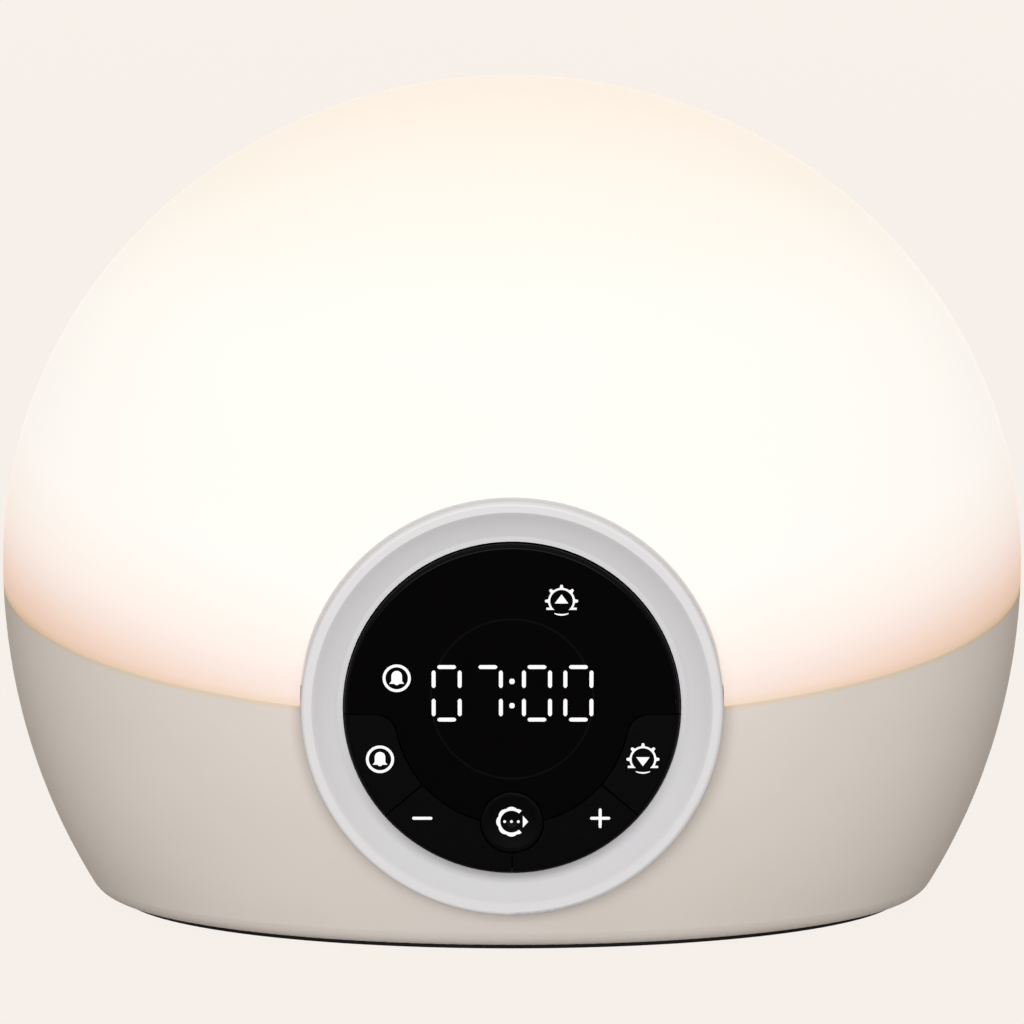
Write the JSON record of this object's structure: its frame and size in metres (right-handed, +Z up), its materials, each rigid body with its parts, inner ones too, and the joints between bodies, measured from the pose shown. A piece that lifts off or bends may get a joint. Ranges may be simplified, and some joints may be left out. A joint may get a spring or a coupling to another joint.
{
  "type": "sunrise alarm clock",
  "caption": "Dome-shaped sunrise lamp with an alarm clock: opal lit dome on a moulded base, round black dial with digital time and press buttons in a dished ring.",
  "frame": {"origin": "on the table under the middle of the lamp body, at the underside of the feet", "axes": "+Z up; -Y out of the dial, towards the user; +X to the user's right"},
  "size_m": [0.2, 0.1172, 0.1636],
  "materials": {
    "opal_dome": "satin opal, lit from inside",
    "putty_shell": "fine matt moulded",
    "black_base": "matt moulded",
    "foot_rubber": "matt",
    "ring_grey": "satin moulded",
    "lens_black": "gloss",
    "button_black": "satin",
    "housing_black": "matt moulded",
    "white_abs": "matt white",
    "circuit_board": "solder-mask green",
    "white_board": "white solder mask on aluminium",
    "segment_white": "lit white",
    "led_white": "phosphor",
    "screw_steel": "zinc plated",
    "sink_aluminium": "extruded",
    "component_black": "matt",
    "switch_tip": "moulded",
    "capacitor_sleeve": "shrink sleeve",
    "ferrite": "sintered",
    "jack_brass": "nickel-plated brass",
    "socket_ivory": "moulded nylon",
    "ribbon_grey": "PVC",
    "lead_white": "PVC"
  },
  "bodies": {
    "lamp": {"diffuser_dome": "opal_dome", "base_shell": "putty_shell", "base_plate": "black_base", "rubber_feet": "foot_rubber", "base_screws": "screw_steel", "dial_ring": "ring_grey", "display_lens": "lens_black", "light_mask": "housing_black", "dial_housing": "housing_black", "digit_segments": "segment_white", "digit_module": "component_black", "display_board": "circuit_board", "icon_leds": "led_white", "button_switches": "component_black", "board_screws": "screw_steel", "dial_cover": "white_abs", "dial_screws": "screw_steel", "reflector_tray": "white_abs", "tray_screws": "screw_steel", "heat_sink": "sink_aluminium", "led_board": "white_board", "leds": "led_white", "led_screws": "screw_steel", "sink_screws": "screw_steel", "main_board": "circuit_board", "main_board_screws": "screw_steel", "capacitors": "capacitor_sleeve", "inductor": "ferrite", "controller_chip": "component_black", "sounder": "component_black", "dc_jack": "component_black", "dc_jack_pin": "jack_brass", "wiring_sockets": "socket_ivory", "display_ribbon": "ribbon_grey", "led_lead": "lead_white"},
    "alarm_key": {"alarm_button": "button_black", "alarm_plunger": "switch_tip"},
    "minus_key": {"minus_button": "button_black", "minus_plunger": "switch_tip"},
    "menu_key": {"menu_button": "button_black", "menu_plunger": "switch_tip"},
    "plus_key": {"plus_button": "button_black", "plus_plunger": "switch_tip"},
    "sunset_key": {"sunset_button": "button_black", "sunset_plunger": "switch_tip"}
  },
  "joints": [
    {"name": "alarm_press", "type": "slide", "parent": "lamp", "child": "alarm_key", "axis": [0, 1, 0], "range_m": [0, 0.0008], "stiffness_N_per_m": 500, "springref_m": -0.001},
    {"name": "minus_press", "type": "slide", "parent": "lamp", "child": "minus_key", "axis": [0, 1, 0], "range_m": [0, 0.0008], "stiffness_N_per_m": 500, "springref_m": -0.001},
    {"name": "menu_press", "type": "slide", "parent": "lamp", "child": "menu_key", "axis": [0, 1, 0], "range_m": [0, 0.0008], "stiffness_N_per_m": 500, "springref_m": -0.001},
    {"name": "plus_press", "type": "slide", "parent": "lamp", "child": "plus_key", "axis": [0, 1, 0], "range_m": [0, 0.0008], "stiffness_N_per_m": 500, "springref_m": -0.001},
    {"name": "sunset_press", "type": "slide", "parent": "lamp", "child": "sunset_key", "axis": [0, 1, 0], "range_m": [0, 0.0008], "stiffness_N_per_m": 500, "springref_m": -0.001}
  ]
}
